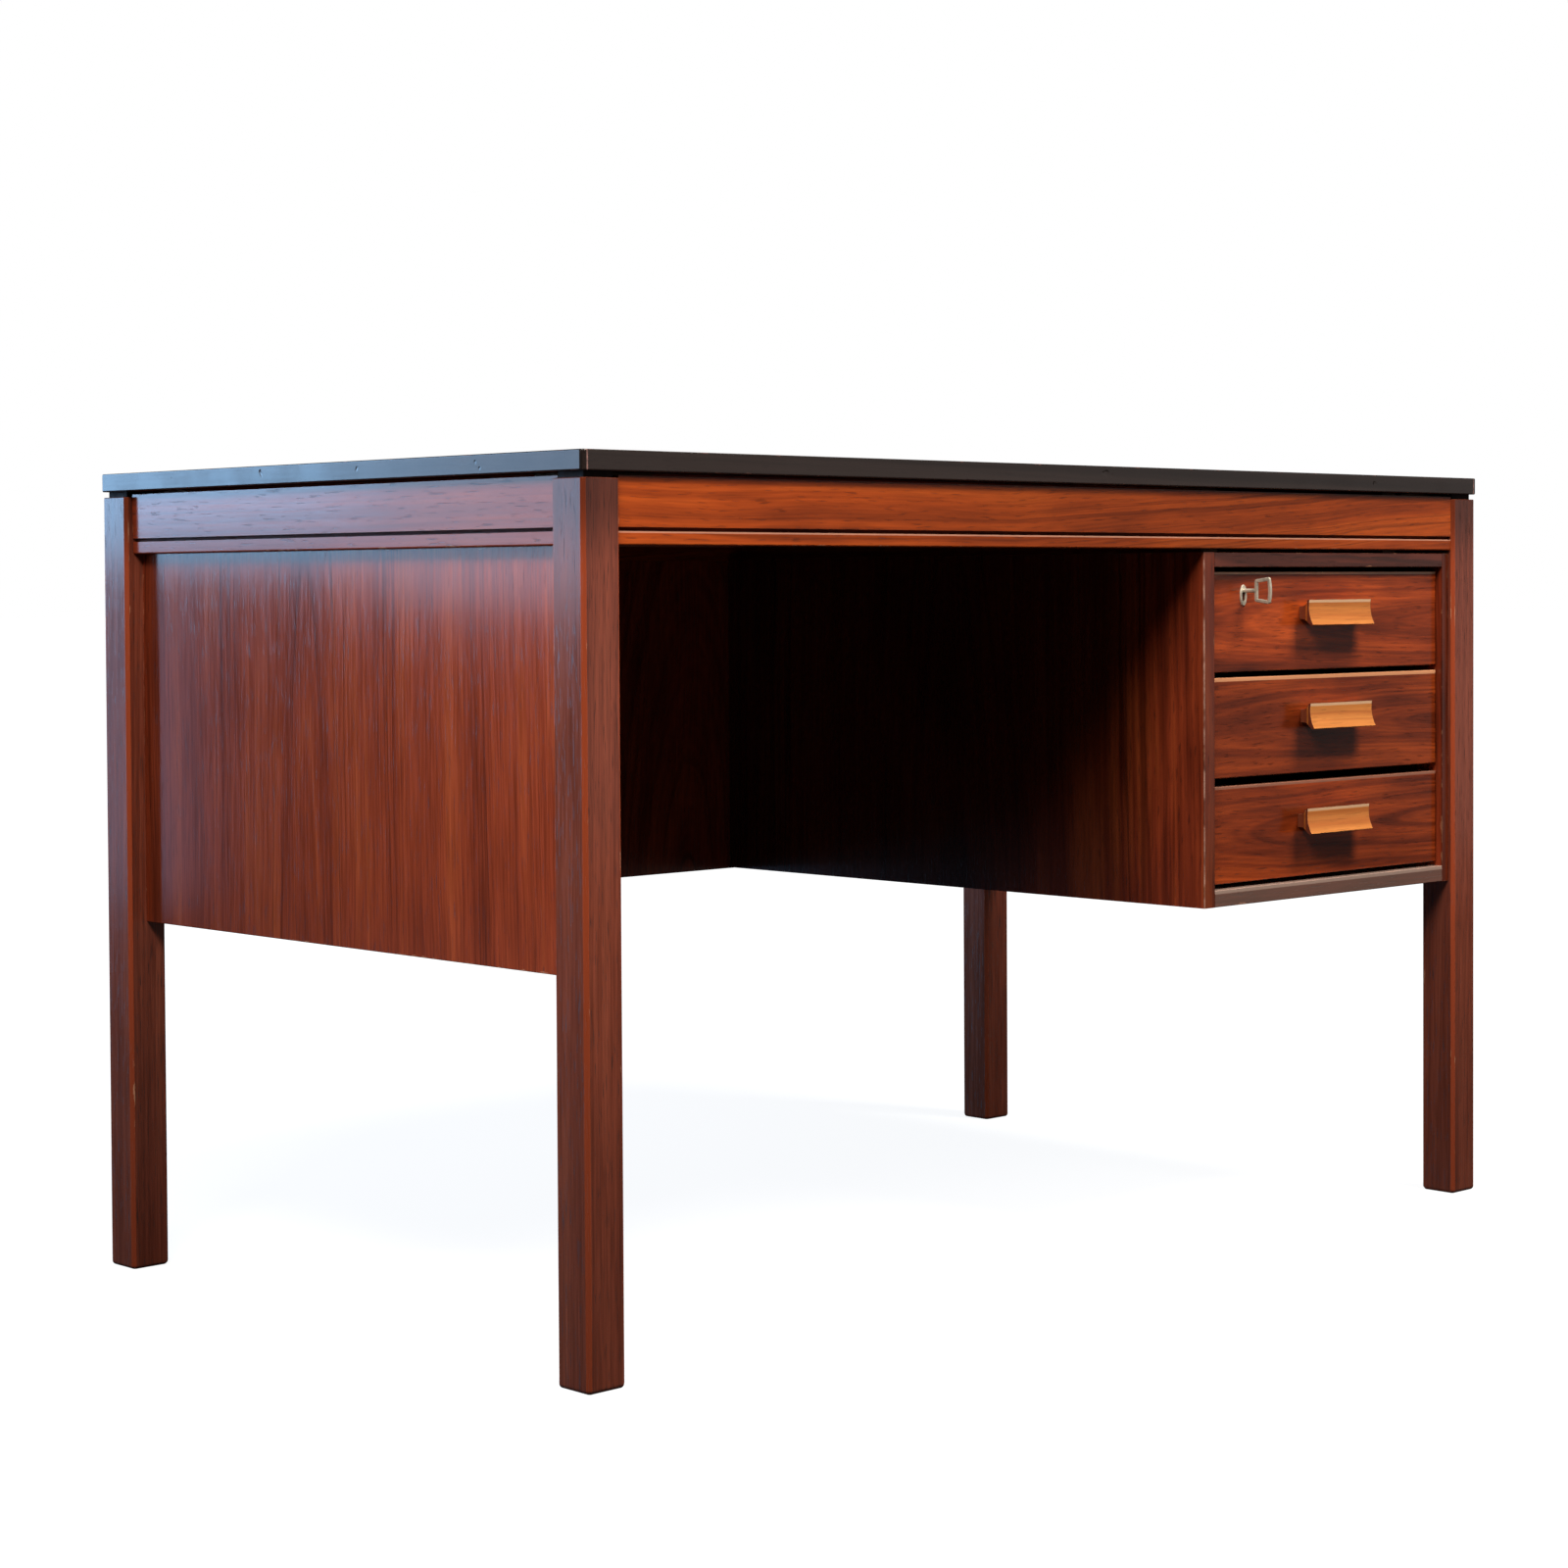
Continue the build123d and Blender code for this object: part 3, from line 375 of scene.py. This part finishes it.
def dark_edge(name, order, seed):
    """The nearly black lacquered edge of the top, with small dents, rubbed edges and corner lines."""
    shader = Shader(name)
    place = shader.place()
    grain = Grain(shader, *oriented(place, order), seed, rings=200.0, warp=0.004)
    colour = shader.mix(shader.fade(grain.figure, 0.35, 0.65), srgb(30, 24, 22), srgb(48, 38, 35))
    colour = shader.mix(shader.multiply(grain.pores, 0.15), colour, srgb(12, 9, 8))
    rubbing = shader.spotted(place, 60.0, seed, 3.0, 0.65)
    reach = shader.fade(rubbing, 0.5, 0.75, 0.0, EDGE_RUB_REACH)
    near = shader.math("LESS_THAN", shader.edge_distance(place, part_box(name)), reach)
    colour = shader.mix(shader.multiply(near, 0.5), colour, srgb(110, 74, 66))
    if name.endswith(("front", "back")):
        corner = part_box(name)[1][0] - TOP_CORNER_RADIUS
        off_corner = shader.math("ABSOLUTE", shader.subtract(shader.math("ABSOLUTE", place[0]), corner))
        line = shader.math("LESS_THAN", off_corner, CORNER_LINE_HALF_WIDTH)
        broken = shader.fade(shader.spotted(place, 160.0, seed), 0.3, 0.6, 0.2, 0.8)
        colour = shader.mix(shader.multiply(line, broken), colour, srgb(150, 112, 106))
    dents = shader.spotted(place, 75.0, seed + 2.0, 1.0)
    relief = shader.add(shader.multiply(grain.fibre, 0.06), shader.fade(dents, 0.70, 0.80, 0.0, -1.0))
    clouds = shader.fade(shader.spotted(place, 22.0, seed + 5.0, 3.0), 0.35, 0.65, 0.0, 0.10)
    dull = shader.add(clouds, shader.fade(grain.fibre, 0.2, 0.8, 0.10, 0.16))
    return shader.finish(colour, dull, shader.bump(relief, 0.6, 0.0006), IOR=1.5)


# ---------------------------------------------------------------- materials on the nodes
def assign(name, material):
    """Puts the material in every slot of the node."""
    mesh = nodes[name].data
    for slot in range(len(mesh.materials)):
        mesh.materials[slot] = material
    if not mesh.materials:
        mesh.materials.append(material)


RED = (srgb(92, 34, 20), srgb(138, 56, 30), srgb(172, 80, 40))
ORANGE = (srgb(112, 44, 18), srgb(176, 74, 24), srgb(204, 94, 32))
BROWN = (srgb(60, 26, 18), srgb(98, 44, 30), srgb(122, 58, 38))
DRAWER_RED = (srgb(60, 22, 14), srgb(138, 54, 22), srgb(192, 82, 32))


def groove_heights():
    """The lowest and highest z of the groove that runs round the aprons."""
    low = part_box("apron_front")[0][2] + GROOVE_RISE
    return (low, low + GROOVE_HEIGHT)


def painted_shade_towards_back(name):
    """Painted shade that darkens an end panel from its front to its back, where less light falls."""
    low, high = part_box(name)

    def paint(shader, place, colour):
        # Painted shade: lighter at the front, darker at the back.
        return shader.shade(colour, shader.fade(place[1], low[1], high[1], 1.36, 0.86))

    return paint


def dress_ends():
    """The two end panels and the side aprons above them."""
    for side, seed in (("left", 2.0), ("right", 11.0)):
        name = f"end_panel_{side}"
        low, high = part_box(name)
        centre = low[1] + 0.58 * (high[1] - low[1])
        assign(name, lacquered(name, "zyx", seed, RED, vein=0.45, contrast=0.5, rubbed=True, roughness=0.12,
                               paint=painted_shade_towards_back(name), bump=0.05, thread=0.20, centre=centre,
                               apex=low[2], cut=0.006, tilt=0.07, rings=170.0, warp=0.030, fineness=1.5))
    for side, seed in (("left", 3.7), ("right", 12.7)):
        name = f"apron_{side}"
        assign(name, lacquered(name, "yzx", seed, RED, vein=0.3, contrast=0.45, rubbed=True, roughness=0.14,
                               bump=0.05, thread=0.10, gloss=0.56, groove=groove_heights(), tilt=0.02,
                               rings=160.0, warp=0.015))


# Metres below the groove and below the board's top, at the two ends of each fade: a painted highlight on
# the lip, and a painted shadow under the top.
LIP_HIGHLIGHT_DEPTHS = (0.0016, 0.0010)
APRON_TOP_PAINTED_SHADOW = (0.008, 0.003)


def apron_painted_shade_and_highlight(name):
    """Paint for a long apron: a painted highlight on the lip under the groove, a painted shadow along its
    top, and painted shade across its middle.
    """
    lip_top = groove_heights()[0]
    board_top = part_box(name)[1][2]
    lip_start, lip_full = (lip_top - depth for depth in LIP_HIGHLIGHT_DEPTHS)
    shade_start, shade_full = (board_top - depth for depth in APRON_TOP_PAINTED_SHADOW)

    def paint(shader, place, colour):
        x, _, z = place
        # Painted shade, darkest across the middle of the apron.
        colour = shader.shade(colour, shader.fade(x, -0.5, 0.0, 0.92, 0.62))
        colour = shader.shade(colour, shader.fade(x, 0.27, 0.44, 1.0, 1.28))
        # Painted highlight along the lip under the groove.
        below = shader.math("LESS_THAN", z, lip_top + GROOVE_MARGIN)
        lip = shader.multiply(shader.fade(z, lip_start, lip_full), below)
        colour = shader.mix(shader.multiply(lip, 0.55), colour, srgb(236, 178, 150))
        # Painted shadow along the top, under the overhang.
        return shader.shade(colour, shader.fade(z, shade_start, shade_full, 1.0, 0.48))

    return paint


def dress_front_and_back():
    """The two long aprons and the back panel."""
    for side, seed in (("front", 32.0), ("back", 31.0)):
        name = f"apron_{side}"
        assign(name, lacquered(name, "xzy", seed, ORANGE, vein=0.4, contrast=0.65, rubbed=True,
                               paint=apron_painted_shade_and_highlight(name), thread=0.15, gloss=0.2, groove=groove_heights(),
                               apex=-0.1, cut=0.05, tilt=0.02, rings=170.0, warp=0.020, bend=2.0,
                               slant=0.07))
    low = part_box("back_panel")[0]
    assign("back_panel", lacquered("back_panel", "zxy", 5.0, RED, contrast=0.8, centre=0.1, apex=low[2],
                                   cut=0.02, tilt=0.2, rings=100.0, warp=0.06))


# Metres from the board's front, its left side or its upper edge, at the two ends of each fade.
FRONT_FACE = (0.0007, 0.0012)
# Painted shade in the knee space, away from the pedestal's front.
SIDE_PAINTED_SHADE = (0.025, 0.125)
CORNER_LINE = (0.0010, 0.0016)
DUST_AND_HIGHLIGHT_LINE = (0.0042, 0.0030)


def pedestal_side_painted_shade_and_marks(name):
    """Paint for a pedestal side: painted shade away from its front, where the knee space is dark, and a
    darker stained front edge.

    The left side, whose corner stands free, has a broken worn line up that corner.
    """
    left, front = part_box(name)[0][:2]

    def paint(shader, place, colour):
        x, y, _ = place
        # Painted shade away from the front.
        depths = [front + depth for depth in SIDE_PAINTED_SHADE]
        colour = shader.shade(colour, shader.fade(y, *depths, 1.18, 0.30))
        face = shader.fade(y, front + FRONT_FACE[0], front + FRONT_FACE[1], 1.0, 0.0)
        colour = shader.mix(face, colour, shader.shade(colour, 0.42))
        if name != "pedestal_side_left":
            return colour
        corner = shader.fade(x, left + CORNER_LINE[0], left + CORNER_LINE[1], 1.0, 0.0)
        broken = shader.fade(shader.spotted(place, 45.0, left), 0.38, 0.6, 0.09, 0.6)
        line = shader.multiply(shader.multiply(face, corner), broken)
        return shader.mix(line, colour, srgb(206, 164, 146))

    return paint


def dusty_and_highlit_board(shader, place, colour):
    """Paint for the pedestal's bottom board: greyed all over by dust, and most along its upper edge, where
    the pale line is dust and wear with a painted highlight.
    """
    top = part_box("pedestal_bottom")[1][2]
    # Dust and wear, with a painted highlight, along the upper edge.
    line = shader.fade(place[2], top - DUST_AND_HIGHLIGHT_LINE[0], top - DUST_AND_HIGHLIGHT_LINE[1], 0.16, 0.6)
    return shader.mix(line, colour, srgb(196, 170, 156))


def dress_pedestal():
    """The four boards round the drawers."""
    for side, seed in (("left", 31.0), ("right", 33.0)):
        name = f"pedestal_side_{side}"
        assign(name, lacquered(name, "zyx", seed, RED, rubbed=True, paint=pedestal_side_painted_shade_and_marks(name),
                               rings=110.0))
    for end, seed, paint in (("top", 35.0, None), ("bottom", 37.0, dusty_and_highlit_board)):
        name = f"pedestal_{end}"
        assign(name, lacquered(name, "xyz", seed, BROWN, rubbed=True, paint=paint))


HIGHLIGHT_SOFTNESS = 0.0006
# For each drawer from the top down: the painted highlight's width, strength and colour, and the board's
# brightness.
TOP_HIGHLIGHTS = (
    (0.0021, 1.0, srgb(255, 196, 158), 1.0),
    (0.0032, 0.9, srgb(222, 156, 112), 0.64),
    (0.0024, 0.7, srgb(150, 110, 92), 0.76),
)


def painted_highlight_top_line(name, width, strength, tint, brightness):
    """Paint for a drawer front: a painted highlight of the given width along its top edge, over a shaded
    colour.
    """
    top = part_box(name)[1][2]

    def paint(shader, place, colour):
        # Painted highlight where the rounded top edge catches the light from above.
        line = shader.fade(place[2], top - width - HIGHLIGHT_SOFTNESS, top - width)
        return shader.mix(shader.multiply(line, strength), shader.shade(colour, brightness), tint)

    return paint


def dress_drawer_fronts():
    for number, line in enumerate(TOP_HIGHLIGHTS, start=1):
        name = f"drawer_{number}_front"
        low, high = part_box(name)
        assign(name, lacquered(name, "xzy", 50.0 + 3.7 * number, DRAWER_RED,
                               paint=painted_highlight_top_line(name, *line), gloss=0.25,
                               centre=(low[2] + high[2]) / 2, apex=low[0], cut=0.03, tilt=-0.07,
                               rings=150.0, warp=0.022, bend=2.5))


def dress_legs():
    """The legs, and the spacers that lift the top off them, coloured near black as painted shade in the gap
    under the top.
    """
    for name in nodes:
        if name == "leg_top_spacers":
            # Near-black spacers stand in for the shade in the gap under the top.
            assign(name, bare_wood(name, "zxy", 3.0, srgb(44, 26, 22), srgb(26, 16, 14), roughness=0.85))
        elif name.startswith("leg_"):
            assign(name, leg_wood(name, 3.0 * len(name)))


def dress_top():
    """The tabletop and the lipping round it."""
    for side, order in (("left", "yxz"), ("right", "yxz"), ("front", "xyz"), ("back", "xyz")):
        name = f"top_lipping_{side}"
        assign(name, dark_edge(name, order, 7.0))
    assign("tabletop", lacquered("tabletop", "xyz", 41.0, RED, roughness=0.36, bump=0.03, gloss=0.22,
                                 centre=-0.1, cut=0.04, tilt=0.08, rings=60.0, warp=0.08))


# Metres below the handle's top, shares of its depth, and metres from its ends, for each fade: the painted
# highlight, the painted shade on the neck, and the darker end grain with painted shade.
HANDLE_TOP_HIGHLIGHT = (0.0032, 0.0022)
HANDLE_NECK_PAINTED_SHADE = (0.50, 0.62)
HANDLE_END_GRAIN_AND_SHADE = (0.0007, 0.0003)


def handle_oak(name):
    """The handle's oak, with a painted highlight along its top edge, painted shade on its neck, and its two
    ends darker as end grain with painted shade.
    """
    low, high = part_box(name)
    middle, half = (low[0] + high[0]) / 2, (high[0] - low[0]) / 2
    line_start, line_full = (high[2] - depth for depth in HANDLE_TOP_HIGHLIGHT)
    neck_start, neck_full = (low[1] + share * (high[1] - low[1]) for share in HANDLE_NECK_PAINTED_SHADE)
    end_start, end_full = (half - depth for depth in HANDLE_END_GRAIN_AND_SHADE)

    def paint(shader, place, colour):
        x, y, z = place
        # Painted highlight along the top edge.
        colour = shader.mix(shader.fade(z, line_start, line_full, 0.0, 0.85), colour, srgb(244, 204, 164))
        # Painted shade on the neck under the grip.
        colour = shader.mix(shader.fade(y, neck_start, neck_full), colour, srgb(122, 60, 36))
        # Darker end grain with painted shade on the two ends.
        from_middle = shader.math("ABSOLUTE", shader.subtract(x, middle))
        return shader.mix(shader.fade(from_middle, end_start, end_full), colour, srgb(104, 48, 30))

    return bare_wood(name, "xzy", 8.0, srgb(216, 138, 66), srgb(184, 104, 44), roughness=0.42, rings=260.0,
                     tilt=0.02, paint=paint)


def dress_light_wood():
    """The handles, the drawer boxes, the dowels, and the wood that is hidden inside."""
    pale, brown = srgb(206, 168, 120), srgb(176, 136, 90)
    beech = bare_wood("box_beech", "yzx", 5.0, pale, brown, rings=110.0)
    cross_beech = bare_wood("box_beech_cross", "xzy", 6.0, pale, brown, rings=110.0)
    ply = bare_wood("bottom_ply", "xyz", 9.0, srgb(214, 180, 134), srgb(188, 150, 104), rings=60.0)
    inner = bare_wood("inner_wood", "yzx", 12.0, srgb(170, 122, 80), srgb(132, 90, 56), rings=90.0)
    for name in nodes:
        if name.endswith("_handle"):
            assign(name, handle_oak(name))
        elif name.startswith("drawer_") and name.endswith("_bottom"):
            assign(name, ply)
        elif name.startswith("drawer_") and name.endswith("_back"):
            assign(name, cross_beech)
        elif name.startswith("drawer_") and "_side_" in name:
            assign(name, beech)
        elif name in ("corner_blocks", "top_bearers") or name.startswith("drawer_runners"):
            assign(name, inner)
        elif name.endswith("dowels"):
            assign(name, beech)


def dress_metal():
    """The lock, the key and every screw."""
    nickel = metal("nickel", srgb(226, 218, 198), 0.46, 1.0, metallic=0.5)
    steel = metal("steel", srgb(170, 170, 166), 0.36, 2.0)
    brass = metal("brass", srgb(196, 160, 90), 0.34, 3.0)
    for name in nodes:
        if name in ("key", "escutcheon"):
            assign(name, nickel)
        elif name == "strike_plate":
            assign(name, brass)
        elif name.startswith("lock_") or "screws" in name:
            assign(name, steel)


# ---------------------------------------------------------------- stage and light
FLOOR_REACH = 60.0
FLOOR_NEAR_GLOW = 0.90
FLOOR_GLOW_FADE = (1.0, 2.6)
SKY_STRENGTH = 0.05


def make_floor():
    """A wide pale floor that fades to white away from the desk and throws little light back up."""
    mesh = bpy.data.meshes.new("floor")
    corners = [(x * FLOOR_REACH, y * FLOOR_REACH, 0.0) for x, y in ((-1, -1), (1, -1), (1, 1), (-1, 1))]
    mesh.from_pydata(corners, [], [(0, 1, 2, 3)])
    floor = bpy.data.objects.new("floor", mesh)
    scene.collection.objects.link(floor)
    shader = Shader("floor")
    x, y, _ = shader.place()
    away = shader.math("SQRT", shader.math("MULTIPLY_ADD", x, x, shader.multiply(y, y)))
    glow = shader.fade(away, *FLOOR_GLOW_FADE, FLOOR_NEAR_GLOW, 1.0)
    seen = shader.node("ShaderNodeLightPath", {}).outputs["Is Camera Ray"]
    pale = shader.node("ShaderNodeEmission", {"Color": (1.0, 1.0, 1.0), "Strength": glow}).outputs[0]
    matt = shader.node("ShaderNodeBsdfDiffuse", {"Color": (0.25, 0.25, 0.25)}).outputs[0]
    both = shader.node("ShaderNodeAddShader", {0: pale, 1: matt}).outputs[0]
    dim = shader.node("ShaderNodeBsdfDiffuse", {"Color": (0.05, 0.045, 0.045)}).outputs[0]
    mixed = shader.node("ShaderNodeMixShader", {0: seen, 1: dim, 2: both}).outputs[0]
    shader.node("ShaderNodeOutputMaterial", {"Surface": mixed})
    mesh.materials.append(shader.material)


def make_world():
    """White where the camera sees it, and a dim sky as a source of light."""
    world = bpy.data.worlds.new("world")
    world.use_nodes = True
    tree = world.node_tree
    tree.nodes.clear()
    path = tree.nodes.new("ShaderNodeLightPath")
    white = tree.nodes.new("ShaderNodeBackground")
    white.inputs["Color"].default_value = (1.0, 1.0, 1.0, 1.0)
    dim = tree.nodes.new("ShaderNodeBackground")
    dim.inputs["Color"].default_value = (0.85, 0.92, 1.0, 1.0)
    dim.inputs["Strength"].default_value = SKY_STRENGTH
    mix = tree.nodes.new("ShaderNodeMixShader")
    out = tree.nodes.new("ShaderNodeOutputWorld")
    tree.links.new(path.outputs["Is Camera Ray"], mix.inputs[0])
    tree.links.new(dim.outputs[0], mix.inputs[1])
    tree.links.new(white.outputs[0], mix.inputs[2])
    tree.links.new(mix.outputs[0], out.inputs[0])
    scene.world = world


def area_light(name, place, target, size, radiance, colour):
    """A rectangular soft light at place, facing target. radiance is its brightness as seen."""
    data = bpy.data.lights.new(name, "AREA")
    data.shape = "RECTANGLE"
    data.size, data.size_y = size
    data.energy = radiance * math.pi * size[0] * size[1]
    data.color = colour
    light = bpy.data.objects.new(name, data)
    light.location = place
    light.rotation_euler = (Vector(target) - Vector(place)).to_track_quat("-Z", "Y").to_euler()
    scene.collection.objects.link(light)


MIRROR_X = -0.5898
# The camera's mirror image in an upright plane between the legs' and the end panel's left faces.
MIRROR_PLACE = Vector((2 * MIRROR_X - CAMERA_PLACE.x, CAMERA_PLACE.y, CAMERA_PLACE.z))
WINDOW_REACH = 6.2
WINDOW_SILL = 0.60
WINDOW_FAR_SILL = 0.68
WINDOW_TOP = 2.60
DOOR_FOOT = 0.02


def window_light(name, turns, heights, radiance, colour):
    """A flat light behind the desk on the left, which its left faces mirror to the camera.

    turns are the two sides' angles from +Y towards -X in degrees, as seen from the camera's mirror
    image in the left faces, and heights are its lowest and highest z.
    """
    middle = math.radians(sum(turns) / 2)
    away = Vector((-math.sin(middle), math.cos(middle), 0.0))
    width = WINDOW_REACH * math.radians(turns[1] - turns[0])
    centre = MIRROR_PLACE + WINDOW_REACH * away
    centre.z = sum(heights) / 2
    target = centre - away
    area_light(name, centre, target, (width, heights[1] - heights[0]), radiance, colour)


def make_lights():
    """Two high lights over the front, a window and a glazed door behind on the left, and a faint haze."""
    area_light("key", (0.8, -1.9, 3.4), (0.2, -0.2, 0.5), (1.5, 1.1), 31.0, (1.0, 0.93, 0.84))
    area_light("left_key", (-1.8, -1.08, 2.15), (-0.2, -0.2, 0.45), (1.0, 0.6), 26.0, (1.0, 0.92, 0.84))
    window_light("window_far", (18.0, 36.5), (WINDOW_FAR_SILL, WINDOW_TOP), 8.2, (0.36, 0.64, 1.0))
    window_light("window_near", (36.5, 50.0), (WINDOW_SILL, WINDOW_TOP), 4.5, (0.48, 0.69, 1.0))
    window_light("door_glass", (18.0, 32.8), (DOOR_FOOT, WINDOW_SILL), 1.55, (0.43, 0.62, 1.0))
    area_light("front_haze", (3.4, -3.4, 1.3), (0.4, -0.3, 1.3), (3.2, 2.6), 0.34, (1.0, 0.89, 0.85))


scene.view_settings.view_transform = "Standard"
scene.view_settings.look = "None"
make_camera()
make_world()
make_floor()
make_lights()
dress_ends()
dress_front_and_back()
dress_pedestal()
dress_drawer_fronts()
dress_legs()
dress_top()
dress_light_wood()
dress_metal()
